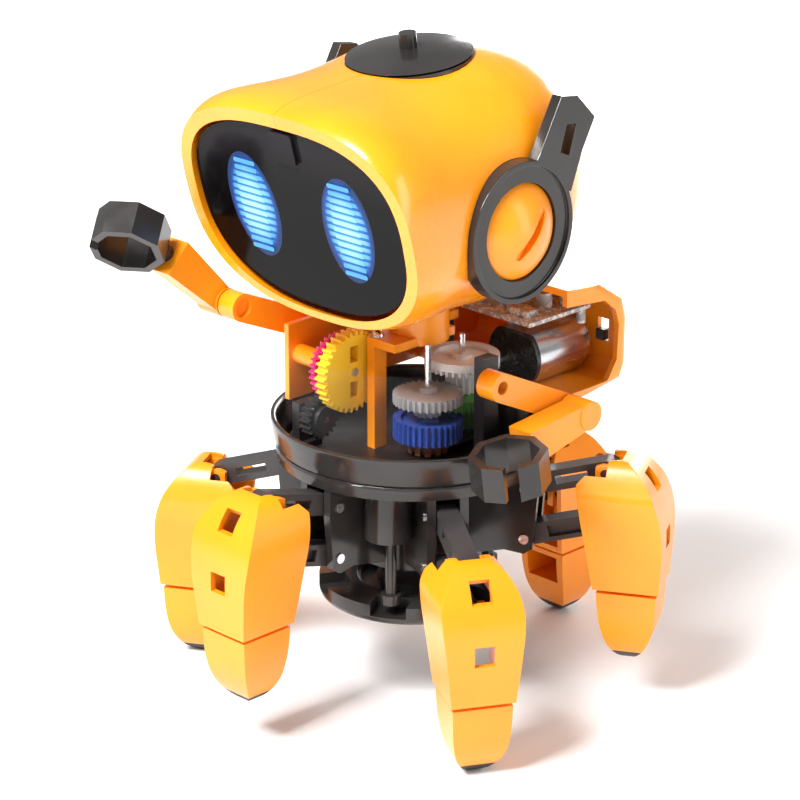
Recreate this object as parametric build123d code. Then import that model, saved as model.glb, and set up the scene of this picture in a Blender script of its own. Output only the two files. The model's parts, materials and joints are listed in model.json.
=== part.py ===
from build123d import *
from math import cos, sin, pi, radians, copysign, hypot, atan2, degrees
import os

# Six-legged walking toy robot, millimetres. Heights are worked out above the ground the feet
# stand on; export_node() then moves everything so the origin is the centre of the base plate's
# underside. Front is -Y, the robot's left is +X, and the torso turns about the Z axis.

PLATE_Z = 27.0            # underside of the base plate above the ground
PLATE_R = 28.0
PLATE_H = 6.0
PLATE_EDGE = 2.5

# ---- bowl and hub --------------------------------------------------------------------------
BOWL_RIM_Z, BOWL_RIM_R = 85.0, 42.0
BOWL_FOOT_Z, BOWL_FOOT_R = 72.0, 40.4
BOWL_WALL = 2.2
BOWL_FLOOR = 1.6
SPINDLE_R = 8.0
RUNNING_FIT = 0.05        # radial gap of a shaft in its hole
HUB_R = 16.0
HUB_FOOT_Z = 40.0
CUP_AT_R, CUP_R, CUP_FOOT_Z = 26.0, 7.2, 55.0
POST_R = 1.75

# ---- legs ----------------------------------------------------------------------------------
LEG_ANGLES = {"front": 0, "front_left": 60, "rear_left": 120,
              "rear": 180, "rear_right": 240, "front_right": 300}
RAISED_LEGS = ("front", "rear_left", "rear_right")
STEP_LIFT = 13.5          # how far the raised three stand above the other three
HUB_PIVOT_R = 36.0
UPPER_PIVOT_Z, LOWER_PIVOT_Z = 66.0, 50.0
LEG_PIVOT_R = 60.0
LINK_T = 6.4              # link thickness across
LINK_H = 6.4
PIN_R = 1.5
CHEEK_T = 2.6
LEG_WALL = 1.8
LEG_FOOT_R = 66.0
GROOVE_Z = 24.0
SOLE_Z = 3.2              # the rubber toe shows below this height
TOE_PLUG_R = 2.4
HOLE = 6.0                # square windows in the front of the thigh
HOLE_ZS = (39.5, 57.0)

# ---- gear train ----------------------------------------------------------------------------
MODULE = 0.6
GEAR_X = 10.0
FRONT_SHAFT_Y = -3.4
REAR_SHAFT_Y = 11.0       # 24 modules behind the front shaft
SHAFT_R = 1.0
CROWN_TEETH, MOTOR_TEETH = 36, 10
FIRST_PINION, GREY_TEETH = 15, 33
SECOND_PINION, GREEN_TEETH = 12, 36
THIRD_PINION, BLUE_TEETH = 15, 33
PINK_TEETH, BLACK_TEETH = 33, 20
YELLOW_TEETH, YELLOW_MODULE = 34, 0.7
SIDE_SHAFT_Y, SIDE_SHAFT_Z, SIDE_SHAFT_R = -17.5, 100.0, 1.2
BLACK_GEAR_ANGLE = 242.6  # from the pink gear's centre, seen along the shaft, from +Y up to +Z

MOTOR_Z, MOTOR_FRONT_Y, MOTOR_LENGTH = 96.5, 33.0, 25.0
MOTOR_R, MOTOR_FLAT = 10.2, 7.6

# ---- torso ---------------------------------------------------------------------------------
TORSO_HALF = 31.5
SHOULDER_BOSS_X = 35.6
TORSO_FOOT_Z = 86.4
TORSO_TOP_Z = 108.5
SHELL_T = 1.8
REAR_Y = 62.0
REAR_ROUND = 4.0
COVER_R, COVER_T = 37.6, 1.2
DECK_Z, DECK_T = 107.3, 1.2   # clear deck over the gears
SHOULDER_Y, SHOULDER_Z = -6.0, 104.4

# ---- arms ----------------------------------------------------------------------------------
UPPER_ARM, UPPER_ARM_H = 30.6, 8.6
UPPER_ARM_X = (36.0, 42.4)
FOREARM_X = (43.0, 52.0)
FOREARM_END = 25.4        # from the elbow to where the wrist peg starts
ARM_ANGLES = {"left": (-25.6, 189.0), "right": (156.4, 136.0)}   # upper arm, forearm: from +Y up
HAND_R, HAND_WALL, HAND_WIDTH = 10.6, 2.2, 10.6   # radius to a flat, wall, band width
HAND_GAP = 4.0            # opening of the clip
HAND_CANTS = {"left": (24.0, 0.0), "right": (24.0, 24.0)}   # outward lean, roll about the forearm
WRIST_X = 48.7

# ---- head ----------------------------------------------------------------------------------
FACE_Y, FACE_Z, FACE_TILT = -46.0, 155.0, 15.0
HEAD_WALL = 2.2
NOD_Y, NOD_Z = 3.0, 124.5
EAR_Y, EAR_Z, EAR_R, EAR_SEAT, EAR_OUT = -2.0, 150.5, 20.5, 41.0, 46.0
DOME_R = 14.0
CAP_Y, CAP_Z, CAP_R, CAP_TILT = -1.2, 192.8, 18.5, 7.0
VISOR_DEPTH, VISOR_T = 1.5, 2.3
FACE_OPENING = (41.8, 27.1, 30.8)   # half width, height above and below the middle
EYE_U, EYE_V, EYE_HALF_W, EYE_HALF_H = 19.0, -1.2, 9.8, 16.6
SLAT_PITCH, SLATS = 2.3, 13
# y, centre z, half width, rise, drop, exponent above, exponent below, tilt
HEAD_SECTIONS = [(FACE_Y, FACE_Z, 46.0, 31.5, 33.5, 2.7, 2.5, FACE_TILT),
                 (-22.0, 156.0, 44.0, 34.6, 35.0, 2.6, 2.5, 8.0),
                 (4.0, 157.0, 43.0, 37.3, 36.5, 2.6, 2.5, 0.0),
                 (26.0, 157.0, 39.0, 36.0, 33.0, 2.7, 2.4, 0.0),
                 (40.0, 157.0, 30.0, 28.5, 25.0, 2.4, 2.3, 0.0),
                 (49.0, 157.0, 17.0, 17.0, 15.0, 2.2, 2.2, 0.0),
                 (52.0, 157.0, 6.0, 6.0, 6.0, 2.0, 2.0, 0.0)]


# ---- helpers -------------------------------------------------------------------------------

def export_node(name, shape):
    """Write one node's solids in the shared frame."""
    solids = list(shape) if isinstance(shape, (list, tuple)) else [shape]
    placed = [Pos(0, 0, -PLATE_Z) * s for group in solids for s in group.solids()]
    export_step(placed[0] if len(placed) == 1 else Compound(children=placed), f"parts/{name}.step")


def rod(radius, low, high):
    """A cylinder between two points."""
    low, high = Vector(*low), Vector(*high)
    plane = Plane(origin=low, z_dir=high - low)
    return extrude(plane * Circle(radius), (high - low).length)


def block(x, y, z):
    """A box given by its low and high edge on each axis."""
    size = [b - a for a, b in (x, y, z)]
    centre = [(a + b) / 2 for a, b in (x, y, z)]
    return Pos(*centre) * Box(*size)


def plate_yz(points, x_low, x_high):
    """A plate cut to an outline of (y, z) points, between two x values."""
    face = make_face(Polyline(*[(x_low, y, z) for y, z in points], close=True))
    return extrude(face, x_high - x_low, dir=(1, 0, 0))


def superellipse(plane, half, rise, drop, above, below, count=32):
    """A closed oval face: exponents above 2 make it boxier."""
    points = []
    for i in range(count):
        a = 2 * pi * i / count
        up = sin(a) >= 0
        n = above if up else below
        x = half * copysign(abs(cos(a)) ** (2 / n), cos(a))
        y = (rise if up else drop) * copysign(abs(sin(a)) ** (2 / n), sin(a))
        points.append(plane.from_local_coords((x, y, 0)))
    return make_face(Spline(*points, periodic=True))


def gear_outline(teeth, module, phase=0.0):
    """Straight-flanked gear outline with backlash; a tooth points along +X at phase 0."""
    pitch_r = module * teeth / 2
    pitch = pi * module
    rings = ((pitch_r - 1.15 * module, 0.19 * pitch + 0.40 * module),
             (pitch_r + 0.80 * module, 0.19 * pitch - 0.30 * module))
    points = []
    for i in range(teeth):
        middle = phase + 2 * pi * i / teeth
        (root_r, root_half), (tip_r, tip_half) = rings
        for r, offset in ((root_r, -root_half), (tip_r, -tip_half),
                          (tip_r, tip_half), (root_r, root_half)):
            a = middle + offset / r
            points.append((r * cos(a), r * sin(a)))
    return make_face(Polyline(*points, close=True))


def gear(teeth, thickness, module=MODULE, phase=0.0):
    """A spur gear standing on the XY plane."""
    return extrude(gear_outline(teeth, module, phase), thickness)


def along_x(shape, y, z, x):
    """Move a shape built on +Z so that it stands on +X at the given place."""
    return Pos(x, y, z) * Rot(0, 90, 0) * Rot(0, 0, 90) * shape


# ---- base and hub --------------------------------------------------------------------------

def make_bowl():
    outer = Polyline((0, BOWL_FOOT_Z), (BOWL_FOOT_R, BOWL_FOOT_Z), (BOWL_FOOT_R + 0.4, 75.6),
                     (BOWL_FOOT_R - 0.1, 75.9), (BOWL_FOOT_R - 0.1, 76.5), (BOWL_FOOT_R + 0.5, 76.8),
                     (BOWL_RIM_R, BOWL_RIM_Z - 1.2), (BOWL_RIM_R, BOWL_RIM_Z),
                     (BOWL_RIM_R - 1.4, BOWL_RIM_Z), (BOWL_RIM_R - BOWL_WALL, BOWL_RIM_Z - 1.4),
                     (BOWL_FOOT_R - BOWL_WALL, BOWL_FOOT_Z + BOWL_FLOOR),
                     (0, BOWL_FOOT_Z + BOWL_FLOOR), close=True)
    bowl = revolve(make_face(Plane.XZ * outer), Axis.Z)
    return bowl - rod(SPINDLE_R + RUNNING_FIT, (0, 0, 60), (0, 0, 90))


def leg_turn(name):
    """Turns a shape built with +X outward to the leg's own direction."""
    return Rot(0, 0, LEG_ANGLES[name] - 90)


def make_hub():
    hub = rod(HUB_R, (0, 0, HUB_FOOT_Z), (0, 0, BOWL_FOOT_Z))
    hub += rod(9.0, (0, 0, PLATE_Z + PLATE_H), (0, 0, HUB_FOOT_Z))
    cheek = [(12, 72), (39.6, 72), (39.9, 64), (38.6, 47), (36, 45.2), (30, 46), (12, 42)]
    inner = LINK_T / 2 + 0.4
    for name in LEG_ANGLES:
        for side in (-1, 1):
            face = make_face(Plane.XZ * Polyline(*cheek, close=True))
            wall = Pos(0, side * (inner + CHEEK_T / 2), 0) * extrude(face, CHEEK_T / 2, both=True)
            hub += leg_turn(name) * wall
    for angle in (30, 150, 270):
        turn = Rot(0, 0, angle - 90)
        hub += turn * rod(CUP_R, (CUP_AT_R, 0, CUP_FOOT_Z), (CUP_AT_R, 0, BOWL_FOOT_Z))
        hub += turn * rod(POST_R, (CUP_AT_R - 2, 0, PLATE_Z + PLATE_H), (CUP_AT_R - 2, 0, CUP_FOOT_Z))
        hub += turn * rod(3.0, (CUP_AT_R - 2, 0, PLATE_Z + PLATE_H), (CUP_AT_R - 2, 0, PLATE_Z + 9))
    for name in LEG_ANGLES:
        turn = leg_turn(name)
        hub -= turn * block((28.0, 45), (-inner, inner), (40, 71))
        for z in (UPPER_PIVOT_Z, LOWER_PIVOT_Z):
            hub -= turn * rod(PIN_R, (HUB_PIVOT_R, -9, z), (HUB_PIVOT_R, 9, z))
    return hub - rod(SPINDLE_R + RUNNING_FIT, (0, 0, 58), (0, 0, 73))


def make_link_pins():
    pins = []
    for name in LEG_ANGLES:
        for z in (UPPER_PIVOT_Z, LOWER_PIVOT_Z):
            reach = LINK_T / 2 + 0.4 + CHEEK_T + 0.5
            pin = rod(PIN_R, (HUB_PIVOT_R, -reach, z), (HUB_PIVOT_R, reach, z))
            pins.append(leg_turn(name) * pin)
    return pins


def make_base_plate():
    plate = rod(PLATE_R, (0, 0, PLATE_Z), (0, 0, PLATE_Z + PLATE_H))
    plate = fillet(plate.edges().group_by(Axis.Z)[0], PLATE_EDGE)
    for i in range(6):
        turn = Rot(0, 0, 60 * i)
        plate -= turn * block((19.5, 40), (-5.5, 5.5), (PLATE_Z + 2.5, 60))
    ring = rod(16.5, (0, 0, PLATE_Z + 3), (0, 0, PLATE_Z + 20))
    ring -= rod(10.5, (0, 0, PLATE_Z), (0, 0, PLATE_Z + 30))
    return plate - ring


# ---- legs ----------------------------------------------------------------------------------

def leg_solid(side, front):
    """The stretch that both outlines share: side is (outward, up), front is (across, up)."""
    body = extrude(make_face(Plane.XZ * side), 14, both=True)
    return body & extrude(make_face(Plane.YZ * front), 120, both=True)


def thigh_block(inset=0.0, reach_in=0.0):
    """Hooded thigh; inset makes the hollow inside it, and reach_in opens that to the hub side."""
    i = inset
    toe_in, heel, top = 57.6 + 0.3 * i - reach_in, 77.4 - i, 52.2 + 0.3 * i - reach_in
    crown = Spline((heel, GROOVE_Z + i), (78.2 - i, 40), (74.4 - 0.8 * i, 55.6 - 0.6 * i),
                   (66.0, 63.4 - i), (56.0 - reach_in, 61.2 - i), tangents=[(0.05, 1), (-1, -0.4)])
    side = crown + Polyline((56.0 - reach_in, 61.2 - i), (top, 57.0 - 0.5 * i),
                            (toe_in, GROOVE_Z + i), (heel, GROOVE_Z + i))
    low, high = (11.9 - i, 46), (9.3 - i, GROOVE_Z - 2)
    dome = Spline(low, (10.9 - i, 56.0 - 0.4 * i), (6.8 - 0.6 * i, 62.4 - i), (0, 64.4 - i),
                  (-6.8 + 0.6 * i, 62.4 - i), (-10.9 + i, 56.0 - 0.4 * i), (-low[0], low[1]),
                  tangents=[(0.06, 1), (0.06, -1)])
    front = dome + Polyline((-low[0], low[1]), (-high[0], high[1]), high, low)
    return leg_solid(side, front)


def shin_block():
    """The blunt shin below the groove, toe included."""
    top_in, top_out, top = 58.6, 76.6, GROOVE_Z - 1.2
    curve = Spline((top_out, top), (75.7, 12.0), (72.6, 4.0), (67.4, -0.2), (62.4, 4.4), (59.8, 12.0),
                   (top_in, top), tangents=[(-0.05, -1), (-0.05, 1)])
    side = curve + Line((top_in, top), (top_out, top))
    chin = Spline((8.9, top), (8.3, 12.0), (5.9, 4.0), (0, -0.2), (-5.9, 4.0), (-8.3, 12.0), (-8.9, top),
                  tangents=[(-0.04, -1), (-0.04, 1)])
    return leg_solid(side, chin + Line((-8.9, top), (8.9, top)))


def toe_plug(radius, top):
    return rod(radius, (LEG_FOOT_R + 1.2, 0, 2.0), (LEG_FOOT_R + 1.2, 0, top))


def make_leg_foot():
    """Rubber toe: the rounded end of the shin, flat where it stands, with a plug up into it."""
    return (shin_block() & block((50, 85), (-12, 12), (0, SOLE_Z))) + toe_plug(TOE_PLUG_R, 9.0)


def make_leg_shell():
    thigh = thigh_block() - thigh_block(LEG_WALL, reach_in=6.0)
    shin = shin_block() & block((50, 85), (-12, 12), (SOLE_Z, GROOVE_Z))
    shin -= block((50, 73.0), (-6.2, 6.2), (12.4, 21.2))
    neck = block((60.5, 75.0), (-7.2, 7.2), (21.6, GROOVE_Z + 1.6))
    shell = thigh + neck + shin
    shell -= block((50, 60.8), (-9.0, 9.0), (50, 70)) + block((50, 64.6), (-4.0, 4.0), (50, 70))
    for z in HOLE_ZS:
        shell -= block((70, 82), (-HOLE / 2, HOLE / 2), (z - HOLE / 2, z + HOLE / 2))
    for side in (-1, 1):
        low, high = sorted((side * (LINK_T / 2 + 0.4), side * (LINK_T / 2 + 2.6)))
        lugs = block((57, 76.6), (low, high), (39.4, 47.2)) + block((57, 73.6), (low, high), (55.6, 61.9))
        lugs += block((70.5, 76.6), (low, high), (30, 57))
        shell += lugs & thigh_block(0.4)
    shell -= rod(PIN_R + RUNNING_FIT, (LEG_PIVOT_R, -8, leg_pivot_z(UPPER_PIVOT_Z)),
                 (LEG_PIVOT_R, 8, leg_pivot_z(UPPER_PIVOT_Z)))
    open_r = PIN_R + 0.5
    shell -= rod(open_r, (LEG_PIVOT_R, -8, leg_pivot_z(LOWER_PIVOT_Z)),
                 (LEG_PIVOT_R, 8, leg_pivot_z(LOWER_PIVOT_Z)))
    return shell - toe_plug(TOE_PLUG_R + 0.05, 9.05)


def leg_pivot_z(hub_pivot_z):
    """Height of a link's outer pivot above the toe of its own leg."""
    return hub_pivot_z - STEP_LIFT / 2


def make_link(hub_z, rise, slotted):
    """A link from the hub to the leg with its stub axles, in the leg's outward plane."""
    low = (HUB_PIVOT_R, hub_z)
    high = (LEG_PIVOT_R, hub_z + rise)
    angle = degrees(atan2(high[1] - low[1], high[0] - low[0]))
    length = hypot(high[0] - low[0], high[1] - low[1])
    body = extrude(Plane.XZ * Pos(length / 2, 0) * SlotCenterToCenter(length, LINK_H), LINK_T / 2, both=True)
    body += rod(PIN_R, (length, -(LINK_T / 2 + 2.5), 0), (length, LINK_T / 2 + 2.5, 0))
    body -= rod(PIN_R + RUNNING_FIT, (0, -5, 0), (0, 5, 0))
    if slotted:
        body -= block((9, 19), (-5, 5), (-1.3, 1.3))
    else:
        for side in (-1, 1):
            low_y, high_y = sorted((side * 1.6, side * 5))
            body -= block((7, 18), (low_y, high_y), (-1.8, 1.8))
    return Pos(low[0], 0, low[1]) * Rot(0, -angle, 0) * body


def write_legs():
    shell, foot = make_leg_shell(), make_leg_foot()
    for name in LEG_ANGLES:
        lift = STEP_LIFT if name in RAISED_LEGS else 0.0
        rise = STEP_LIFT / 2 if name in RAISED_LEGS else -STEP_LIFT / 2
        turn = leg_turn(name)
        export_node(f"leg_{name}_shell", turn * Pos(0, 0, lift) * shell)
        export_node(f"leg_{name}_foot", turn * Pos(0, 0, lift) * foot)
        export_node(f"leg_{name}_upper_link", turn * make_link(UPPER_PIVOT_Z, rise, True))
        export_node(f"leg_{name}_lower_link", turn * make_link(LOWER_PIVOT_Z, rise, False))


# ---- torso ---------------------------------------------------------------------------------

def make_turntable():
    disc = rod(37.0, (0, 0, 74.0), (0, 0, 75.6))
    disc += rod(SPINDLE_R, (0, 0, 60.0), (0, 0, 74.0))
    disc -= rod(SPINDLE_R - 2, (0, 0, 59.0), (0, 0, 73.0))
    return disc


def make_gearbox_frame():
    """Bearing posts, the black gear's bracket and the motor's cradle, standing on the turntable."""
    top = 75.6
    frame = block((-21.5, -18.5), (-28.5, -21.0), (top, 89.6))
    frame += block((-23, -16.6), (-28.5, -21.0), (top, 77.6))
    frame += block((23.5, 27.5), (2.0, 8.0), (top, DECK_Z - 0.2))
    frame += block((-10, -6), (18, 24), (top, 107.4))
    frame += block((4, 16), (24.6, 32.6), (top, 88.0))
    frame += block((0, 20), (24.6, 32.6), (86.6, 88.6))
    frame += rod(4.6, (25.2, 17.2, top), (25.2, 17.2, 90.0))
    frame += block((5, 15), (6, 16), (top, 79.6))
    frame -= rod(SHAFT_R, (GEAR_X, REAR_SHAFT_Y, 70), (GEAR_X, REAR_SHAFT_Y, 90))
    frame -= rod(1.0, (-23, SIDE_BLACK[0], SIDE_BLACK[1]), (-10, SIDE_BLACK[0], SIDE_BLACK[1]))
    return frame


def make_frame_strap():
    """Orange bridge behind the yellow gear: it carries the neck and the head's hinge."""
    low = TORSO_TOP_Z - 1.0
    bridge = block((-28.9, 6.0), (-4, 12), (low, low + 2.6))
    bridge += block((-5.6, 6.0), (-13, -4), (low, low + 2.6))
    bridge += block((-11, -4.0), (12, 24), (low, low + 2.6))
    bridge += block((-5.6, -2.6), (-13, -8), (75.6, low))
    bridge += rod(9.0, (0, NOD_Y, low), (0, NOD_Y, 117.0))
    bridge += block((-6, 6), (NOD_Y - 4, NOD_Y + 4), (116, NOD_Z))
    bridge += rod(4.0, (-6, NOD_Y, NOD_Z), (6, NOD_Y, NOD_Z))
    bridge += rod(1.8, (-10, NOD_Y, NOD_Z), (10, NOD_Y, NOD_Z))
    for y in (FRONT_SHAFT_Y, REAR_SHAFT_Y):
        bridge -= rod(SHAFT_R + 0.5, (GEAR_X, y, 100), (GEAR_X, y, 120))
    return bridge


def rear_profile(inset=0.0):
    i = inset
    return [(33, TORSO_FOOT_Z + i), (52, TORSO_FOOT_Z + i), (59.4 - i * 0.4, 87.4 + i * 0.8),
            (61.8 - i, 92.5), (REAR_Y - i, 107.5), (59.8 - i, 114.4 - i * 0.6),
            (51 - i * 0.2, 120.0 - i), (33, 122.0 - i)]


def make_torso_shell():
    half = TORSO_HALF
    rear = plate_yz(rear_profile(), -half, half)
    back_edges = rear.edges().filter_by_position(Axis.Y, 50, 70)
    rear = fillet([edge for edge in back_edges if abs(abs(edge.center().X) - half) < 0.1], REAR_ROUND)
    inner = [(y - (6 if y < 34 else 0), z) for y, z in rear_profile(SHELL_T)]
    rear -= plate_yz(inner, -half + SHELL_T, half - SHELL_T)
    rear -= plate_yz([(30, 89), (52, 89), (56, 95), (56.6, 106), (55, 111), (50, 115), (30, 117)],
                     half - 6, half + 6)
    wall = block((-half, -half + SHELL_T), (-22, 34), (TORSO_FOOT_Z, TORSO_TOP_Z + 1.6))
    shell = rear + wall
    shell += rod(5, (-SHOULDER_BOSS_X, SHOULDER_Y, SHOULDER_Z), (-30, SHOULDER_Y, SHOULDER_Z))
    shell += rod(2.0, (-UPPER_ARM_X[1] + 0.4, SHOULDER_Y, SHOULDER_Z), (-30, SHOULDER_Y, SHOULDER_Z))
    shell += rod(3.0, (-30, SIDE_SHAFT_Y, SIDE_SHAFT_Z), (-17, SIDE_SHAFT_Y, SIDE_SHAFT_Z))
    shell -= rod(SIDE_SHAFT_R, (-28, SIDE_SHAFT_Y, SIDE_SHAFT_Z), (-10, SIDE_SHAFT_Y, SIDE_SHAFT_Z))
    shell -= block((-16.2, 16.2), (56, 70), (96, 107.3))
    shell -= block((20.0, 24.4), (56, 70), (98.0, 105.0))
    return shell


def make_clear_cover():
    """Clear front and left housing with its deck over the gears and the left shoulder's boss."""
    side_y = -(COVER_R ** 2 - TORSO_HALF ** 2) ** 0.5
    top = DECK_Z + DECK_T
    ring = rod(COVER_R, (0, 0, TORSO_FOOT_Z), (0, 0, top))
    ring -= rod(COVER_R - COVER_T, (0, 0, 80), (0, 0, 120))
    ring &= block((-28.7, TORSO_HALF), (-40, side_y + 1), (80, 120))
    side = block((TORSO_HALF - COVER_T, TORSO_HALF), (side_y, 32.6), (TORSO_FOOT_Z, top))
    deck = block((9.6, TORSO_HALF), (side_y + 2, 24), (DECK_Z, top))
    boss = rod(5, (TORSO_HALF - COVER_T, SHOULDER_Y, SHOULDER_Z), (SHOULDER_BOSS_X, SHOULDER_Y, SHOULDER_Z))
    pin = rod(2.0, (34.0, SHOULDER_Y, SHOULDER_Z), (UPPER_ARM_X[1] - 0.4, SHOULDER_Y, SHOULDER_Z))
    cover = ring + side + deck + boss + pin
    for y in (FRONT_SHAFT_Y, REAR_SHAFT_Y):
        cover -= rod(SHAFT_R + RUNNING_FIT, (GEAR_X, y, 100), (GEAR_X, y, 120))
    return cover


def make_battery_door():
    door = block((-15.9, 15.9), (60.0, 61.9), (96.3, 107.0))
    for i in range(3):
        z = 99.2 + 2.4 * i
        door -= block((-10, 10), (61.2, 63), (z, z + 0.9))
    return door


def make_power_switch():
    return block((20.4, 24.0), (58.6, 60.8), (98.3, 101.7)) + block((21.2, 23.2), (60.8, 63.0), (98.7, 101.3))


def make_circuit_board():
    board = block((-8, 24), (25, 52), (110.6, 111.8))
    chips = [block((-2, 8), (30, 38), (111.8, 113.4)), block((12, 20), (28, 33), (111.8, 113.6)),
             rod(2.5, (16, 40, 111.8), (16, 40, 116.6)), rod(2.0, (9, 44, 111.8), (9, 44, 115.6)),
             block((-5, -1), (42, 48), (111.8, 114.6)), block((19, 22.4), (44, 50), (111.8, 114.8))]
    legs = [rod(1.4, (x, 50, 106.0), (x, 50, 110.6)) for x in (-6, 22)]
    return board + legs, chips


def motor_rod(radius, y_low, y_high):
    return rod(radius, (GEAR_X, y_low, MOTOR_Z), (GEAR_X, y_high, MOTOR_Z))


def make_motor():
    rear = MOTOR_FRONT_Y + MOTOR_LENGTH
    can_end, cap_end = rear - 2.4, rear - 0.6
    flats = block((-20, 40), (MOTOR_FRONT_Y - 5, rear + 5), (MOTOR_Z - MOTOR_FLAT, MOTOR_Z + MOTOR_FLAT))
    can = motor_rod(MOTOR_R, MOTOR_FRONT_Y, can_end) & flats
    cap = motor_rod(MOTOR_R - 0.6, can_end, cap_end) & flats
    boss = motor_rod(2.8, MOTOR_FRONT_Y - 2.4, MOTOR_FRONT_Y)
    return [piece - motor_rod(1.0, 20, 70) for piece in (can, cap, boss)]


def make_motor_pinion():
    axle = rod(0.95, (GEAR_X, 19.0, MOTOR_Z), (GEAR_X, 55.0, MOTOR_Z))
    teeth = gear(MOTOR_TEETH, 3.4, phase=pi / MOTOR_TEETH)
    pinion = Pos(GEAR_X, 22.8, MOTOR_Z) * Rot(90, 0, 0) * Rot(0, 0, 90) * teeth
    return pinion + axle


def drill(shape, y):
    """The bore of a gear that runs on one of the two upright shafts."""
    return shape - rod(SHAFT_R + RUNNING_FIT, (GEAR_X, y, 70), (GEAR_X, y, 115))


def make_crown_gear():
    """White crown gear: face teeth below the rim, and the first pinion under its middle."""
    at = Pos(GEAR_X, REAR_SHAFT_Y, 0)
    disc = rod(11.2, (0, 0, 100.4), (0, 0, 102.8)) - (rod(8.2, (0, 0, 101.6), (0, 0, 104)) -
                                                   rod(3.0, (0, 0, 101), (0, 0, 105)))
    half = 0.17 * pi * MODULE / 10.0
    for i in range(CROWN_TEETH):
        middle = pi / 2 + 2 * pi * i / CROWN_TEETH
        points = [(r * cos(middle + s * half), r * sin(middle + s * half))
                  for r, s in ((8.9, -1), (11.2, -1), (11.2, 1), (8.9, 1))]
        disc += Pos(0, 0, 99.0) * extrude(make_face(Polyline(*points, close=True)), 1.5)
    disc += Pos(0, 0, 91.2) * gear(FIRST_PINION, 9.4, phase=-pi / 2)
    return drill(at * disc, REAR_SHAFT_Y)


def make_grey_gear():
    at = Pos(GEAR_X, FRONT_SHAFT_Y, 0)
    wheel = Pos(0, 0, 91.2) * gear(GREY_TEETH, 3.2, phase=pi / 2 + pi / GREY_TEETH)
    wheel += Pos(0, 0, 87.2) * gear(SECOND_PINION, 4.0, phase=pi / 2)
    wheel += rod(2.6, (0, 0, 94.4), (0, 0, 96.0))
    return drill(at * wheel, FRONT_SHAFT_Y)


def make_green_gear():
    at = Pos(GEAR_X, REAR_SHAFT_Y, 0)
    wheel = Pos(0, 0, 87.8) * gear(GREEN_TEETH, 3.0, phase=-pi / 2 + pi / GREEN_TEETH)
    wheel += Pos(0, 0, 80.2) * gear(THIRD_PINION, 7.6, phase=-pi / 2)
    return drill(at * wheel, REAR_SHAFT_Y)


def make_blue_gear():
    at = Pos(GEAR_X, FRONT_SHAFT_Y, 0)
    wheel = Pos(0, 0, 80.4) * gear(BLUE_TEETH, 6.2, phase=pi / 2 + pi / BLUE_TEETH)
    wheel -= rod(8.0, (0, 0, 85.4), (0, 0, 90)) - rod(3.2, (0, 0, 84), (0, 0, 90))
    return drill(at * wheel, FRONT_SHAFT_Y)


def make_brown_clutch():
    ring = rod(6.2, (0, 0, 76.2), (0, 0, 80.4))
    for i in range(12):
        ring -= Rot(0, 0, 30 * i) * block((4.6, 8), (-0.7, 0.7), (76, 79))
    return drill(Pos(GEAR_X, FRONT_SHAFT_Y, 0) * ring, FRONT_SHAFT_Y)


def make_gear_shafts():
    shafts = [rod(SHAFT_R, (GEAR_X, FRONT_SHAFT_Y, 75.6), (GEAR_X, FRONT_SHAFT_Y, 109.0)),
              rod(SHAFT_R, (GEAR_X, REAR_SHAFT_Y, 75.6), (GEAR_X, REAR_SHAFT_Y, 109.0)),
              rod(SIDE_SHAFT_R, (-28.0, SIDE_SHAFT_Y, SIDE_SHAFT_Z), (-5.8, SIDE_SHAFT_Y, SIDE_SHAFT_Z)),
              rod(1.0, (-21.5, *SIDE_BLACK), (-10.4, *SIDE_BLACK))]
    return shafts


def side_gear(teeth, module, thickness, x, y, z, angle, bore):
    """A gear on a shaft along X; the tooth at the given angle from +Y up to +Z is a tooth's middle."""
    wheel = gear(teeth, thickness, module, phase=radians(angle))
    wheel -= rod(bore, (0, 0, -1), (0, 0, thickness + 1))
    return along_x(wheel, y, z, x)


SIDE_DISTANCE = MODULE * (PINK_TEETH + BLACK_TEETH) / 2
SIDE_BLACK = (SIDE_SHAFT_Y + SIDE_DISTANCE * cos(radians(BLACK_GEAR_ANGLE)),
              SIDE_SHAFT_Z + SIDE_DISTANCE * sin(radians(BLACK_GEAR_ANGLE)))


def make_pink_gear():
    return side_gear(PINK_TEETH, MODULE, 2.2, -15.0, SIDE_SHAFT_Y, SIDE_SHAFT_Z,
                     BLACK_GEAR_ANGLE, SIDE_SHAFT_R + RUNNING_FIT)


def make_yellow_gear():
    wheel = side_gear(YELLOW_TEETH, YELLOW_MODULE, 4.0, -10.4, SIDE_SHAFT_Y, SIDE_SHAFT_Z,
                      0.0, SIDE_SHAFT_R + RUNNING_FIT)
    wheel += rod(3.0, (-12.8, SIDE_SHAFT_Y, SIDE_SHAFT_Z), (-10.4, SIDE_SHAFT_Y, SIDE_SHAFT_Z))
    bore = SIDE_SHAFT_R + RUNNING_FIT
    wheel -= rod(bore, (-13, SIDE_SHAFT_Y, SIDE_SHAFT_Z), (-10, SIDE_SHAFT_Y, SIDE_SHAFT_Z))
    slot = block((-12, -4), (-1.6, 1.6), (-8.0, -3.0)) + block((-12, -4), (-1.6, 1.6), (3.0, 8.0))
    return wheel - Pos(0, SIDE_SHAFT_Y, SIDE_SHAFT_Z) * slot


def make_black_gear():
    turned = BLACK_GEAR_ANGLE + 180 + 180 / BLACK_TEETH
    wheel = side_gear(BLACK_TEETH, MODULE, 4.0, -16.0, *SIDE_BLACK, turned, 1.0 + RUNNING_FIT)
    boss = rod(4.0, (-12.0, *SIDE_BLACK), (-10.6, *SIDE_BLACK))
    return wheel + (boss - rod(1.0 + RUNNING_FIT, (-13, *SIDE_BLACK), (-10, *SIDE_BLACK)))


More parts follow.
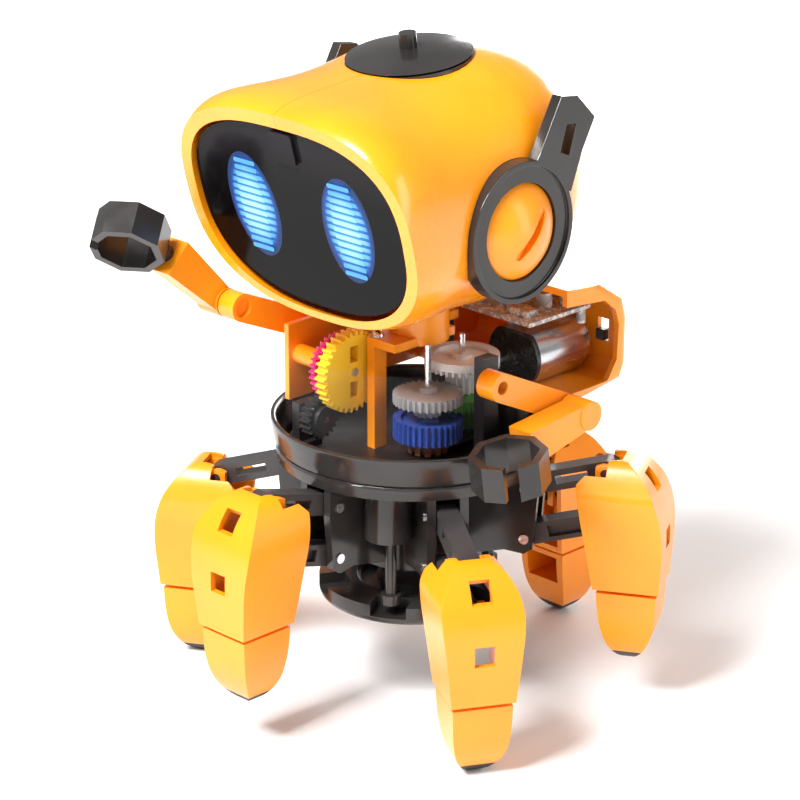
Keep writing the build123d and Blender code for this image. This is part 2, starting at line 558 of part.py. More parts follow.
def make_frame_screws():
    """Round-headed screws holding the bridge down, one of them beside the yellow gear."""
    screws = []
    for x, y in ((-3.6, -10.5), (-8.0, 21.0)):
        head = Pos(x, y, TORSO_TOP_Z + 1.6) * Sphere(2.0)
        screws.append(head & block((x - 3, x + 3), (y - 3, y + 3), (TORSO_TOP_Z + 1.6, TORSO_TOP_Z + 6)))
    return screws


# ---- arms ----------------------------------------------------------------------------------

def make_upper_arm():
    """Left upper arm lying along +Y from its shoulder at the origin; x is the real x."""
    low, high = UPPER_ARM_X
    outline = Pos(UPPER_ARM / 2, 0) * SlotCenterToCenter(UPPER_ARM, UPPER_ARM_H)
    arm = extrude(Plane.YZ.offset(low) * outline, high - low)
    arm += rod(1.8, (high - 0.5, UPPER_ARM, 0), (FOREARM_X[1] - 1.6, UPPER_ARM, 0))
    arm -= rod(2.0 + RUNNING_FIT, (low - 1, 0, 0), (high + 1, 0, 0))
    return arm - rod(3.0, (low - 1, UPPER_ARM, 0), (low + 1.6, UPPER_ARM, 0))


def make_forearm():
    """Left forearm lying along +Y from its elbow at the origin, a little wider at the wrist."""
    low, high = FOREARM_X
    arm = rod(4.4, (low, 0, 0), (high, 0, 0))
    profile = [(0, -3.8), (FOREARM_END, -5.6), (FOREARM_END, 5.6), (0, 3.8)]
    arm += plate_yz(profile, low + 0.4, high - 0.4)
    arm -= rod(1.8 + RUNNING_FIT, (low - 1, 0, 0), (high - 1.4, 0, 0))
    return arm


def make_hand(cant, roll):
    """Left hand: an eight-sided clip on a peg, its gap facing away from the forearm."""
    reach = HAND_R + 1.8
    octagon = Rot(0, 0, 22.5) * RegularPolygon(HAND_R / cos(pi / 8), 8)
    hole = Rot(0, 0, 22.5) * RegularPolygon((HAND_R - HAND_WALL) / cos(pi / 8), 8)
    band = extrude(Pos(0, reach) * (octagon - hole), HAND_WIDTH / 2, both=True)
    band -= Pos(0, reach, 0) * block((2.0, 2.0 + HAND_GAP), (HAND_R - 4, HAND_R + 2), (-10, 10))
    band += rod(2.6, (0, 0.6, 0), (0, 1.8 + HAND_WALL / 2, 0))
    leaned = Pos(0, 0.3, 0) * Rot(0, -roll, 0) * Rot(0, 0, -cant) * band
    neck = rod(2.6, (0, 0, 0), (0, 2.6, 0))
    return Pos(WRIST_X, FOREARM_END, 0) * (leaned + neck)


def pose_arm(shape, y, z, angle, side):
    """Swing a left-arm piece about X and mirror it for the right side."""
    placed = Pos(0, y, z) * Rot(angle, 0, 0) * shape
    return placed if side == "left" else mirror(placed, Plane.YZ)


def write_arms():
    upper, fore = make_upper_arm(), make_forearm()
    for side, (upper_turn, fore_turn) in ARM_ANGLES.items():
        elbow_y = SHOULDER_Y + UPPER_ARM * cos(radians(upper_turn))
        elbow_z = SHOULDER_Z + UPPER_ARM * sin(radians(upper_turn))
        export_node(f"{side}_upper_arm", pose_arm(upper, SHOULDER_Y, SHOULDER_Z, upper_turn, side))
        export_node(f"{side}_forearm", pose_arm(fore, elbow_y, elbow_z, fore_turn, side))
        hand = make_hand(*HAND_CANTS[side])
        export_node(f"{side}_hand", pose_arm(hand, elbow_y, elbow_z, fore_turn, side))


# ---- head ----------------------------------------------------------------------------------

def section_plane(y, z, tilt, ahead=0.0):
    """Upright plane facing forward, its top leaning forward by the tilt."""
    t = radians(tilt)
    normal = Vector(0, -cos(t), -sin(t))
    origin = Vector(0, y, z) + normal * ahead
    return Plane(origin=origin, x_dir=(1, 0, 0), z_dir=normal)


def head_solid(inset=0.0):
    faces = []
    for i, (y, z, half, rise, drop, above, below, tilt) in enumerate(HEAD_SECTIONS):
        half, rise, drop = half - inset, rise - inset, drop - inset
        if inset and i == 0:
            half, rise, drop = FACE_OPENING
        ahead = 0.6 if inset and i == 0 else 0.0
        last = len(HEAD_SECTIONS) - 1
        back = inset if i == last else 0.0
        faces.append(superellipse(section_plane(y - back, z, tilt, ahead), half, rise, drop, above, below))
    return loft(faces)


def ear_cylinder(radius, x_low, x_high, side):
    return rod(radius, (side * x_low, EAR_Y, EAR_Z), (side * x_high, EAR_Y, EAR_Z))


def cap_place():
    return Pos(0, CAP_Y, CAP_Z) * Rot(CAP_TILT, 0, 0)


def make_head_shell():
    outer = head_solid()
    shell = outer - head_solid(HEAD_WALL)
    for side in (-1, 1):
        shell += ear_cylinder(22.5, EAR_SEAT - 2.5, EAR_SEAT + 1.0, side) & outer
        shell -= ear_cylinder(EAR_R + 0.1, EAR_SEAT, EAR_SEAT + 9, side)
    shell -= cap_place() * Pos(0, 0, 8.6) * Cylinder(CAP_R + 0.1, 20)
    shell += (cap_place() * Pos(0, 0, -2.9) * Cylinder(CAP_R + 2, 3)) & outer
    shell -= block((-15, 15), (-14, 20), (110, 130))
    for side in (-1, 1):
        lug = block((6.5, 9.0), (-2, 20), (120.4, 134)) + block((6.5, 15.4), (12, 20.4), (121.6, 134))
        lug += block((9.0, 15.6), (8, 20.4), (124.0, 128.0))
        shell += (lug if side > 0 else mirror(lug, Plane.YZ)) & outer
    shell -= rod(1.8 + RUNNING_FIT, (-10.5, NOD_Y, NOD_Z), (10.5, NOD_Y, NOD_Z))
    return shell


def make_head_cap():
    base = Cylinder(CAP_R, 1.6)
    dome = (Pos(0, 0, 0.8 - 84.6) * Sphere(86.7)) & (Pos(0, 0, 2.8) * Cylinder(CAP_R, 4.0))
    cap = Pos(0, 0, -0.6) * base + dome
    pin = Pos(0, 0, 4.1) * Cylinder(2.6, 6.4)
    return cap_place() * (cap + pin)


def make_visor():
    """Black face panel with its sensor block at the top and two shallow seats for the eyes."""
    back = section_plane(FACE_Y, FACE_Z, FACE_TILT, -VISOR_DEPTH - VISOR_T)
    half, rise, drop = (size - 0.6 for size in FACE_OPENING)
    panel = extrude(superellipse(back, half, rise, drop, 2.7, 2.5), VISOR_T, dir=back.z_dir)
    face = section_plane(FACE_Y, FACE_Z, FACE_TILT, -VISOR_DEPTH)
    sensor = face * Pos(0, 21.0, -0.6) * RectangleRounded(9.0, 9.6, 1.2)
    visor = panel + extrude(sensor, 1.8)
    for side in (-1, 1):
        seat = face * Pos(side * EYE_U, EYE_V) * eye_outline(side)
        visor -= extrude(seat, -1.0)
    return visor


def eye_outline(side):
    return Rot(0, 0, -side * 4) * Ellipse(EYE_HALF_W, EYE_HALF_H)


def make_eye_lights():
    lights = []
    for side in (-1, 1):
        face = section_plane(FACE_Y, FACE_Z, FACE_TILT, -VISOR_DEPTH)
        lens = extrude(face * Pos(side * EYE_U, EYE_V) * eye_outline(side), -1.0)
        for i in range(SLATS):
            step = i - (SLATS - 1) / 2
            width = 10.6 - abs(step) * 0.35
            slat = face * Pos(side * EYE_U, EYE_V + SLAT_PITCH * step) * RectangleRounded(width, 1.3, 0.5)
            lens += extrude(slat, 0.5)
        lights.append(lens)
    return lights


def make_ear_ring(side):
    ring = ear_cylinder(EAR_R, EAR_SEAT, EAR_OUT, side)
    ring -= ear_cylinder(DOME_R + 0.1, EAR_SEAT - 1, EAR_OUT + 1, side)
    ring -= ear_cylinder(EAR_R - 1.6, EAR_OUT - 0.9, EAR_OUT + 1, side)
    fin = plate_yz([(1.5, 168.0), (4.6, 172.5), (12.8, 187.0), (19.5, 186.0), (27.0, 178.6), (22.0, 169.8),
                    (17.5, 158.5), (14.0, 162.0)], EAR_OUT - 3.6, EAR_OUT)
    fin -= plate_yz([(12.5, 171.0), (15.2, 178.5), (19.0, 178.0), (16.4, 169.4)], EAR_OUT - 5, EAR_OUT + 1)
    fin = fin if side > 0 else mirror(fin, Plane.YZ)
    fin -= ear_cylinder(EAR_R - 1.0, EAR_SEAT - 1, EAR_OUT + 1, side)
    return ring + fin


def make_ear_dome(side):
    """Shallow dome on a disc, with one long slanting groove."""
    seat, rise = EAR_SEAT + 3.0, 6.5
    arc = ThreePointArc((seat, DOME_R), (seat + rise * 0.74, DOME_R * 0.52), (seat + rise, 0))
    outline = Polyline((seat + rise, 0), (EAR_SEAT, 0), (EAR_SEAT, DOME_R), (seat, DOME_R)) + arc
    dome = revolve(make_face(outline), Axis.X)
    slot = extrude(Plane.YZ.offset(seat + 4.0) * Rot(0, 0, 49) * SlotCenterToCenter(14, 2.6), 8)
    dome = Pos(0, EAR_Y, EAR_Z) * (dome - slot)
    return dome if side > 0 else mirror(dome, Plane.YZ)


# ---- the whole robot -----------------------------------------------------------------------

def main():
    os.makedirs("parts", exist_ok=True)
    export_node("bowl", make_bowl())
    export_node("hub", make_hub())
    export_node("link_pins", make_link_pins())
    export_node("base_plate", make_base_plate())
    write_legs()
    export_node("turntable", make_turntable())
    export_node("gearbox_frame", make_gearbox_frame())
    export_node("frame_strap", make_frame_strap())
    export_node("torso_shell", make_torso_shell())
    export_node("clear_cover", make_clear_cover())
    export_node("battery_door", make_battery_door())
    export_node("power_switch", make_power_switch())
    board, chips = make_circuit_board()
    export_node("circuit_board", [board] + chips)
    export_node("motor", make_motor())
    export_node("motor_pinion", make_motor_pinion())
    export_node("crown_gear", make_crown_gear())
    export_node("grey_gear", make_grey_gear())
    export_node("green_gear", make_green_gear())
    export_node("blue_gear", make_blue_gear())
    export_node("brown_clutch", make_brown_clutch())
    export_node("gear_shafts", make_gear_shafts())
    export_node("pink_gear", make_pink_gear())
    export_node("yellow_gear", make_yellow_gear())
    export_node("black_gear", make_black_gear())
    export_node("frame_screws", make_frame_screws())
    write_arms()
    export_node("head_shell", make_head_shell())
    export_node("head_cap", make_head_cap())
    export_node("visor", make_visor())
    export_node("eye_lights", make_eye_lights())
    export_node("ear_rings", [make_ear_ring(-1), make_ear_ring(1)])
    export_node("ear_domes", [make_ear_dome(-1), make_ear_dome(1)])


main()
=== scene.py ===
import json
from math import cos, radians, sin

import bpy
from mathutils import Matrix, Vector

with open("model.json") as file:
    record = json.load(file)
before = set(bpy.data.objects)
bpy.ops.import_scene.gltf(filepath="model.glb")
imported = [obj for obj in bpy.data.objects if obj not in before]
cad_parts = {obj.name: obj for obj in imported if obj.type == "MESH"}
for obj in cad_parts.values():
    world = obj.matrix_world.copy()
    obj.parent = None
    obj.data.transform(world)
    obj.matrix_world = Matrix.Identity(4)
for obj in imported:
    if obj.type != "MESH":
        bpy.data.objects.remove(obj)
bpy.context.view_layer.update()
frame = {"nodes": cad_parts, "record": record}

MM = 0.001
FRAME_UP = 27.0 * MM          # the frame's origin stands this far above the ground

# ---- where the face, its eyes and the motor are --------------------------------------------

FACE_TILT = radians(15.0)
FACE_OUT = Vector((0, -cos(FACE_TILT), -sin(FACE_TILT)))
FACE_UP = Vector((0, -sin(FACE_TILT), cos(FACE_TILT)))
FACE_CENTRE = Vector((0, -46.0, 155.0)) * MM - Vector((0, 0, FRAME_UP))
VISOR_DEPTH = 1.5 * MM
EYE_U, EYE_V = 19.0 * MM, -1.2 * MM
EYE_HALF_W, EYE_HALF_H = 9.8 * MM, 16.6 * MM
SLAT_PITCH = 2.3 * MM
SLAT_SHARE = 0.28             # half of a slat's height, as a share of the pitch
WHOLE_PITCHES = 20.5          # puts the middle slat, at height 0, halfway through a pitch
MOTOR_END = 34.6 * MM         # y where the can ends and its moulded end begins

# ---- colours, as linear light --------------------------------------------------------------

ORANGE = ((0.94, 0.285, 0.004), (0.97, 0.315, 0.006))
PARTING_SHADE = (0.62, 0.17, 0.002)
BLACK_END = (0.012, 0.011, 0.011)
LENS_DARK = (0.01, 0.03, 0.08, 1.0)
# from the middle of the lens, 0, to its rim, 1
LENS_BLUES = [(0.0, (0.09, 0.46, 0.76)), (0.50, (0.04, 0.33, 0.72)), (0.78, (0.02, 0.13, 0.50)),
              (0.93, (0.012, 0.035, 0.26)), (1.0, (0.006, 0.008, 0.06))]
SLAT_BLUES = [(0.0, (0.70, 0.98, 1.0)), (0.50, (0.48, 0.92, 1.0)), (0.82, (0.13, 0.52, 0.92))]

# ---- sizes of surface detail: noise scales are features per metre --------------------------

DRIFT, GLOSS, GRAIN = 38.0, 150.0, 2600.0
GRAIN_DEPTH = 0.04 * MM
STREAK_DEPTH = 0.02 * MM
PARTING_START, PARTING_HALF = 0.05 * MM, 0.16 * MM
PARTING_DEPTH = 0.12 * MM
TRACK_SCALE, TRACK_DEPTH = 420.0, 0.1 * MM

# ---- edge radii, in millimetres ------------------------------------------------------------

WELD_REACH = 0.01
PLAIN_EDGE, FINE_EDGE, LEG_EDGE = 0.45, 0.08, 1.2
EDGE_WIDTHS = {"head_shell": 1.1, "bowl": 0.35, "hub": 0.35, "torso_shell": 0.6, "base_plate": 0.4,
               "ear_rings": 0.5, "ear_domes": 0.35, "frame_strap": 0.4, "clear_cover": 0.15, "visor": 0.3,
               "head_cap": 0.4, "motor": 0.6, "turntable": 0.2}
FINE_NODES = {"crown_gear", "grey_gear", "green_gear", "blue_gear", "pink_gear", "yellow_gear", "black_gear",
              "motor_pinion", "gear_shafts", "circuit_board", "eye_lights", "brown_clutch"}

# ---- camera, light and floor ---------------------------------------------------------------

CAMERA_AZIMUTH, CAMERA_ELEVATION = radians(44.7), radians(20.1)
CAMERA_DISTANCE = 0.9
CAMERA_LENS, SENSOR = 136.5, 36.0
BACK = Vector((sin(CAMERA_AZIMUTH) * cos(CAMERA_ELEVATION), -cos(CAMERA_AZIMUTH) * cos(CAMERA_ELEVATION),
               sin(CAMERA_ELEVATION)))
RIGHT = Vector((cos(CAMERA_AZIMUTH), sin(CAMERA_AZIMUTH), 0))
UP = BACK.cross(RIGHT)
ROBOT_MIDDLE = Vector((0, 0, 90.0 * MM - FRAME_UP))
AIM_RIGHT, AIM_UP = -3.5 * MM, -1.6 * MM

LIGHTS_AIM = Vector((0, 0, 0.07))
# name: offset right, up and back from the aim; width, height; power; colour
LIGHTS = {"key": ((-0.45, 0.60, 0.70), (0.40, 0.40), 22.0, (1.0, 1.0, 1.0)),
          "fill": ((0.90, 0.10, 0.45), (0.30, 0.90), 3.5, (1.0, 0.97, 0.93)),
          "rim": ((0.35, 0.45, -0.80), (0.60, 0.40), 8.0, (1.0, 1.0, 1.0))}
AMBIENT = 0.36
FLOOR_REACH = 3.0
FAR_GLOW = 0.62               # keeps the floor pale where the studio lights no longer reach
GLOW_START, GLOW_END = 0.25, 1.1


# ---- node helpers --------------------------------------------------------------------------

class Tree:
    """A material's node tree, with short ways to add the nodes used here."""

    def __init__(self, name):
        self.material = bpy.data.materials.new(name)
        self.material.use_nodes = True
        self.nodes = self.material.node_tree.nodes
        self.links = self.material.node_tree.links
        self.shader = self.nodes["Principled BSDF"]
        self.place = self.nodes.new("ShaderNodeTexCoord").outputs["Object"]

    def set(self, **values):
        for key, value in values.items():
            self.shader.inputs[key.replace("_", " ")].default_value = value

    def link(self, output, name):
        self.links.new(output, self.shader.inputs[name])

    def stretch(self, x, y, z):
        node = self.nodes.new("ShaderNodeMapping")
        node.inputs["Scale"].default_value = (x, y, z)
        self.links.new(self.place, node.inputs["Vector"])
        return node.outputs["Vector"]

    def noise(self, scale, detail=3.0, vector=None):
        node = self.nodes.new("ShaderNodeTexNoise")
        node.inputs["Scale"].default_value = scale
        node.inputs["Detail"].default_value = detail
        self.links.new(vector or self.place, node.inputs["Vector"])
        return node.outputs["Fac"]

    def ramp(self, factor, stops):
        node = self.nodes.new("ShaderNodeValToRGB")
        ramp = node.color_ramp
        while len(ramp.elements) < len(stops):
            ramp.elements.new(0.5)
        for element, (at, colour) in zip(ramp.elements, stops):
            element.position = at
            element.color = (*colour, 1.0)
        self.links.new(factor, node.inputs["Fac"])
        return node.outputs["Color"]

    def spread(self, factor, low, high, start=0.3, end=0.7):
        """The factor's range from start to end, moved to low and high."""
        node = self.nodes.new("ShaderNodeMapRange")
        node.inputs["From Min"].default_value = start
        node.inputs["From Max"].default_value = end
        node.inputs["To Min"].default_value = low
        node.inputs["To Max"].default_value = high
        self.links.new(factor, node.inputs["Value"])
        return node.outputs["Result"]

    def sums(self, operation, *inputs):
        node = self.nodes.new("ShaderNodeMath")
        node.operation = operation
        for i, value in enumerate(inputs):
            if isinstance(value, (int, float)):
                node.inputs[i].default_value = value
            else:
                self.links.new(value, node.inputs[i])
        return node.outputs[0]

    def mix(self, factor, first, second):
        """Blend two colours, each a plain colour or an output."""
        node = self.nodes.new("ShaderNodeMix")
        node.data_type = "RGBA"
        colour_a, colour_b = [socket for socket in node.inputs if socket.type == "RGBA"]
        self.links.new(factor, node.inputs["Factor"])
        for value, socket in ((first, colour_a), (second, colour_b)):
            if isinstance(value, tuple):
                socket.default_value = (*value, 1.0)
            else:
                self.links.new(value, socket)
        return next(socket for socket in node.outputs if socket.type == "RGBA")

    def along(self, direction, origin=Vector((0, 0, 0))):
        """Distance of a point along a direction, in metres, from the origin given."""
        node = self.nodes.new("ShaderNodeVectorMath")
        node.operation = "DOT_PRODUCT"
        node.inputs[1].default_value = direction
        self.links.new(self.place, node.inputs[0])
        return self.sums("SUBTRACT", node.outputs["Value"], direction.dot(origin))

    def from_middle(self):
        """Distance of a point from the object's origin, in metres."""
        node = self.nodes.new("ShaderNodeVectorMath")
        node.operation = "LENGTH"
        self.links.new(self.place, node.inputs[0])
        return node.outputs["Value"]

    def bump(self, height, strength, distance):
        node = self.nodes.new("ShaderNodeBump")
        node.inputs["Strength"].default_value = strength
        node.inputs["Distance"].default_value = distance
        self.links.new(height, node.inputs["Height"])
        self.links.new(node.outputs["Normal"], self.shader.inputs["Normal"])


# ---- materials -----------------------------------------------------------------------------

def drifting(tree, deep, main):
    """A colour that wanders slowly between two shades."""
    return tree.ramp(tree.noise(DRIFT, 2.0), [(0.36, deep), (0.60, main)])


def moulded(name, deep, main, rough=(0.26, 0.40), coat=0.0, grain=0.06):
    """Injection-moulded plastic: slow colour drift, uneven gloss and a fine skin."""
    tree = Tree(name)
    tree.link(drifting(tree, deep, main), "Base Color")
    tree.link(tree.spread(tree.noise(GLOSS, 4.0), *rough), "Roughness")
    tree.bump(tree.noise(GRAIN, 2.0), grain, GRAIN_DEPTH)
    tree.set(Coat_Weight=coat, Coat_Roughness=0.12)
    return tree.material


def head_plastic(name):
    """The orange of the head, with the fine parting line of its two moulded halves over the top."""
    tree = Tree(name)
    off_middle = tree.sums("ABSOLUTE", tree.along(Vector((1, 0, 0))))
    line = tree.spread(off_middle, 0.0, 1.0, PARTING_START, PARTING_HALF)
    tree.link(tree.mix(line, PARTING_SHADE, drifting(tree, *ORANGE)), "Base Color")
    tree.link(tree.spread(tree.noise(GLOSS, 4.0), 0.22, 0.30), "Roughness")
    tree.bump(line, 0.5, PARTING_DEPTH)
    tree.set(Coat_Weight=0.35, Coat_Roughness=0.06)
    return tree.material


def steel(name, colour, rough, streak=(900.0, 60.0, 900.0)):
    """Bright steel with fine drawn streaks."""
    tree = Tree(name)
    lines = tree.noise(1.0, 3.0, tree.stretch(*streak))
    dark = tuple(c * 0.8 for c in colour)
    tree.link(tree.ramp(lines, [(0.3, dark), (0.65, colour)]), "Base Color")
    tree.link(tree.spread(lines, *rough), "Roughness")
    tree.bump(lines, 0.10, STREAK_DEPTH)
    tree.set(Metallic=1.0)
    return tree.material


def motor_can(name):
    """Rolled steel can with a black moulded end towards the gears."""
    tree = Tree(name)
    lines = tree.noise(1.0, 3.0, tree.stretch(500.0, 40.0, 500.0))
    edge = 0.1 * MM
    can = tree.spread(tree.along(Vector((0, 1, 0))), 0.0, 1.0, MOTOR_END - edge, MOTOR_END + edge)
    bright = tree.ramp(lines, [(0.3, (0.58, 0.58, 0.60)), (0.65, (0.74, 0.74, 0.76))])
    tree.link(tree.mix(can, BLACK_END, bright), "Base Color")
    tree.link(can, "Metallic")
    tree.link(tree.spread(lines, 0.16, 0.30), "Roughness")
    tree.bump(lines, 0.08, STREAK_DEPTH)
    return tree.material


def clear_plastic(name):
    """Thin clear housing: almost nothing but its reflections."""
    tree = Tree(name)
    tree.link(tree.spread(tree.noise(90.0, 2.0), 0.02, 0.07), "Roughness")
    tree.link(tree.ramp(tree.noise(60.0, 1.0), [(0.3, (0.16, 0.17, 0.18)), (0.7, (0.22, 0.23, 0.24))]),
              "Base Color")
    tree.set(Alpha=0.02, Specular_IOR_Level=0.5)
    tree.material.surface_render_method = "BLENDED"
    return tree.material


def face_panel(name):
    """Black glossy face, with a painted grey sheen: its colour lightens towards its top."""
    tree = Tree(name)
    height = tree.along(FACE_UP, FACE_CENTRE)
    # painted sheen: a painted reflection that lightens the base colour from black to grey, with height up
    # the face wobbled by noise
    sheen_height = tree.sums("MULTIPLY_ADD", tree.noise(14.0, 1.0), 10.0 * MM, height)
    tree.link(tree.ramp(tree.spread(sheen_height, 0.0, 1.0, -6.0 * MM, 34.0 * MM),
                        [(0.0, (0.0012, 0.0010, 0.0010)), (0.5, (0.0035, 0.0030, 0.0035)),
                         (1.0, (0.016, 0.014, 0.016))]), "Base Color")
    tree.link(tree.spread(tree.noise(120.0, 3.0), 0.10, 0.20), "Roughness")
    tree.set(Specular_IOR_Level=0.07)
    return tree.material


def eye_light(name):
    """Backlit lens: pale slats over blue, which shine past their raised ends, and an indigo rim."""
    tree = Tree(name)
    across = tree.sums("SUBTRACT", tree.sums("ABSOLUTE", tree.along(Vector((1, 0, 0)))), EYE_U)
    up = tree.along(FACE_UP, FACE_CENTRE + FACE_UP * EYE_V)
    squares = [tree.sums("POWER", tree.sums("ABSOLUTE", tree.sums("DIVIDE", value, half)), 2.0)
               for value, half in ((across, EYE_HALF_W), (up, EYE_HALF_H))]
    radius = tree.sums("SQRT", tree.sums("ADD", *squares))
    mottle = tree.sums("MULTIPLY_ADD", tree.noise(700.0, 2.0), 0.10, radius)
    back = tree.ramp(mottle, LENS_BLUES)
    slat = tree.ramp(mottle, SLAT_BLUES)
    proud = tree.along(FACE_OUT, FACE_CENTRE - FACE_OUT * VISOR_DEPTH)
    raised = tree.spread(proud, 0.0, 1.0, 0.15 * MM, 0.4 * MM)
    pitches = tree.sums("MULTIPLY_ADD", up, 1.0 / SLAT_PITCH, WHOLE_PITCHES)
    from_slat = tree.sums("ABSOLUTE", tree.sums("SUBTRACT", tree.sums("FRACT", pitches), 0.5))
    stripe = tree.spread(from_slat, 1.0, 0.0, SLAT_SHARE - 0.01, SLAT_SHARE + 0.02)
    inside = tree.spread(radius, 1.0, 0.0, 0.76, 0.86)
    on_slat = tree.sums("MAXIMUM", raised, tree.sums("MULTIPLY", stripe, inside))
    tree.link(tree.mix(on_slat, back, slat), "Emission Color")
    tree.set(Base_Color=LENS_DARK, Emission_Strength=1.0, Roughness=0.35, Specular_IOR_Level=0.1)
    return tree.material


def circuit(name):
    """Pale board with a mottle of tracks."""
    tree = Tree(name)
    tracks = tree.nodes.new("ShaderNodeTexVoronoi")
    tracks.distance = "MANHATTAN"
    tracks.inputs["Scale"].default_value = TRACK_SCALE
    tree.links.new(tree.place, tracks.inputs["Vector"])
    tree.link(tree.ramp(tracks.outputs["Distance"], [(0.25, (0.46, 0.42, 0.34)), (0.5, (0.78, 0.78, 0.76)),
                                                     (0.8, (0.34, 0.34, 0.34))]), "Base Color")
    tree.link(tree.spread(tree.noise(300.0), 0.25, 0.5), "Roughness")
    tree.bump(tracks.outputs["Distance"], 0.4, TRACK_DEPTH)
    return tree.material


def floor_paper(name):
    """Pale studio floor."""
    tree = Tree(name)
    paper = tree.ramp(tree.noise(3.0, 2.0), [(0.3, (0.93, 0.93, 0.93)), (0.7, (0.96, 0.96, 0.96))])
    tree.link(paper, "Base Color")
    tree.link(tree.spread(tree.from_middle(), 0.0, FAR_GLOW, GLOW_START, GLOW_END), "Emission Strength")
    tree.set(Roughness=0.9, Emission_Color=(1.0, 1.0, 1.0, 1.0))
    return tree.material


NYLON = (0.35, 0.5)
MATERIALS = {
    "orange": moulded("orange_plastic", *ORANGE, rough=(0.30, 0.38), coat=0.18, grain=0.03),
    "dark_grey": moulded("dark_grey_plastic", (0.018, 0.016, 0.015), (0.028, 0.025, 0.024),
                         rough=(0.14, 0.24)),
    "link_grey": moulded("link_plastic", (0.030, 0.027, 0.028), (0.046, 0.042, 0.043), rough=(0.28, 0.42)),
    "black_gloss": face_panel("face_panel"),
    "eye_glow": eye_light("eye_light"),
    "steel": steel("bright_steel", (0.78, 0.78, 0.79), (0.16, 0.30)),
    "motor_steel": motor_can("motor_can_steel"),
    "rubber": moulded("foot_rubber", (0.022, 0.021, 0.020), (0.038, 0.035, 0.033),
                      rough=(0.5, 0.7), grain=0.3),
    "clear": clear_plastic("clear_housing"),
    "white_nylon": moulded("white_nylon", (0.74, 0.74, 0.76), (0.88, 0.88, 0.88), rough=NYLON),
    "grey_nylon": moulded("grey_nylon", (0.34, 0.34, 0.35), (0.46, 0.46, 0.47), rough=NYLON),
    "green_nylon": moulded("green_nylon", (0.05, 0.24, 0.02), (0.10, 0.36, 0.04), rough=NYLON),
    "blue_nylon": moulded("blue_nylon", (0.012, 0.045, 0.26), (0.03, 0.08, 0.40), rough=NYLON),
    "brown_nylon": moulded("brown_nylon", (0.20, 0.045, 0.014), (0.30, 0.075, 0.025), rough=(0.4, 0.55)),
    "pink_nylon": moulded("pink_nylon", (0.62, 0.010, 0.13), (0.80, 0.025, 0.20), rough=NYLON),
    "yellow_nylon": moulded("yellow_nylon", (0.86, 0.50, 0.012), (0.95, 0.62, 0.03), rough=NYLON),
    "black_nylon": moulded("black_nylon", (0.008, 0.008, 0.009), (0.018, 0.017, 0.017), rough=(0.3, 0.45)),
    "board": circuit("circuit_board"),
}
HEAD_MATERIAL = head_plastic("head_orange_plastic")


# ---- the CAD pieces ------------------------------------------------------------------------

def soften(obj, width, angle=38.0, segments=2):
    """Round the edges of a CAD piece without touching its own mesh."""
    weld = obj.modifiers.new("weld", "WELD")
    weld.merge_threshold = WELD_REACH * MM
    bevel = obj.modifiers.new("edges", "BEVEL")
    bevel.width = width
    bevel.segments = segments
    bevel.limit_method = "ANGLE"
    bevel.angle_limit = radians(angle)
    bevel.use_clamp_overlap = True
    normals = obj.modifiers.new("normals", "WEIGHTED_NORMAL")
    normals.keep_sharp = True


def edge_width(node):
    if node in FINE_NODES:
        return FINE_EDGE
    if node.startswith("leg") and node.endswith("_shell"):
        return LEG_EDGE
    return EDGE_WIDTHS.get(node, PLAIN_EDGE)


def dress_nodes():
    slots = {part["node"]: part["material_slot"] for part in frame["record"]["subparts"]}
    for node, obj in frame["nodes"].items():
        obj.data.materials.clear()
        obj.data.materials.append(HEAD_MATERIAL if node == "head_shell" else MATERIALS[slots[node]])
        soften(obj, edge_width(node) * MM)


# ---- stage, light and camera ---------------------------------------------------------------

def facing(spot, target):
    """Matrix of something at a spot that looks at the target."""
    turn = (target - spot).to_track_quat("-Z", "Y").to_matrix().to_4x4()
    return Matrix.Translation(spot) @ turn


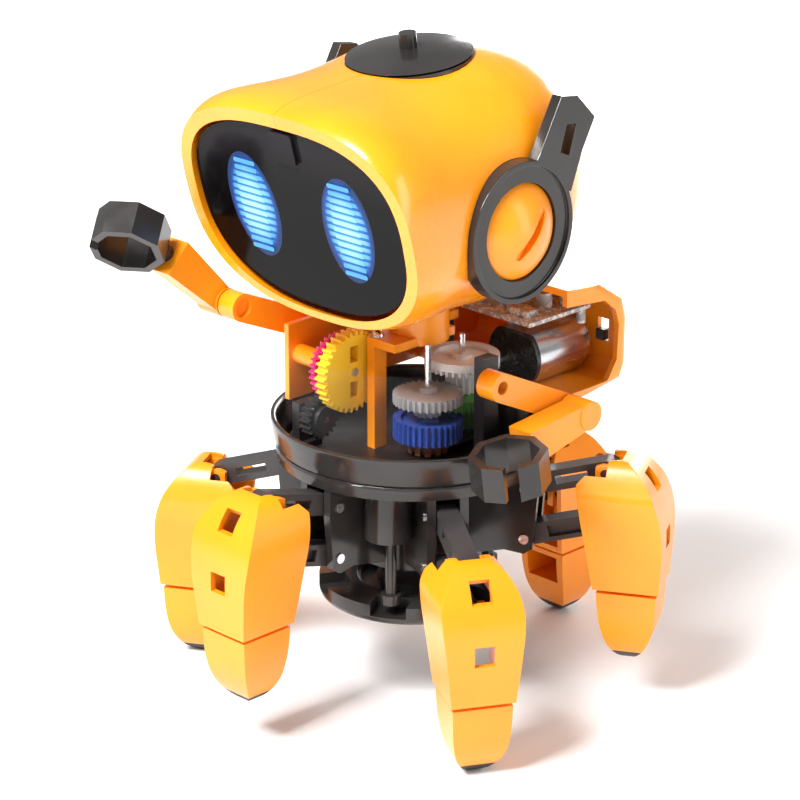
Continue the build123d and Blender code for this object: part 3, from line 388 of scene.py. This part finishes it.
def place_camera():
    data = bpy.data.cameras.new("camera")
    data.lens = CAMERA_LENS
    data.sensor_width = SENSOR
    camera = bpy.data.objects.new("camera", data)
    camera.rotation_mode = "QUATERNION"
    camera.matrix_world = facing(ROBOT_MIDDLE + BACK * CAMERA_DISTANCE,
                                 ROBOT_MIDDLE + RIGHT * AIM_RIGHT + UP * AIM_UP)
    bpy.context.collection.objects.link(camera)
    bpy.context.scene.camera = camera


def area_light(name, offset, size, power, colour):
    """A softbox placed from the camera's own directions and aimed at the robot."""
    data = bpy.data.lights.new(name, "AREA")
    data.shape = "RECTANGLE"
    data.size, data.size_y = size
    data.energy = power
    data.color = colour
    light = bpy.data.objects.new(name, data)
    right, up, back = offset
    light.matrix_world = facing(LIGHTS_AIM + RIGHT * right + UP * up + BACK * back, LIGHTS_AIM)
    bpy.context.collection.objects.link(light)


def lay_floor():
    mesh = bpy.data.meshes.new("floor")
    corners = [(-1, -1), (1, -1), (1, 1), (-1, 1)]
    mesh.from_pydata([(x * FLOOR_REACH, y * FLOOR_REACH, -FRAME_UP) for x, y in corners], [], [(0, 1, 2, 3)])
    mesh.materials.append(floor_paper("pale_floor"))
    floor = bpy.data.objects.new("floor", mesh)
    bpy.context.collection.objects.link(floor)


def light_world():
    """Even white light on the robot, and plain white where the camera sees past the floor."""
    world = bpy.data.worlds.new("studio")
    world.use_nodes = True
    nodes, links = world.node_tree.nodes, world.node_tree.links
    light = nodes["Background"]
    light.inputs["Color"].default_value = (1, 1, 1, 1)
    light.inputs["Strength"].default_value = AMBIENT
    seen = nodes.new("ShaderNodeBackground")
    seen.inputs["Color"].default_value = (1, 1, 1, 1)
    pick = nodes.new("ShaderNodeMixShader")
    links.new(nodes.new("ShaderNodeLightPath").outputs["Is Camera Ray"], pick.inputs[0])
    links.new(light.outputs[0], pick.inputs[1])
    links.new(seen.outputs[0], pick.inputs[2])
    links.new(pick.outputs[0], nodes["World Output"].inputs["Surface"])
    bpy.context.scene.world = world
    bpy.context.scene.view_settings.view_transform = "Standard"


dress_nodes()
place_camera()
lay_floor()
light_world()
for light_name, settings in LIGHTS.items():
    area_light(light_name, *settings)
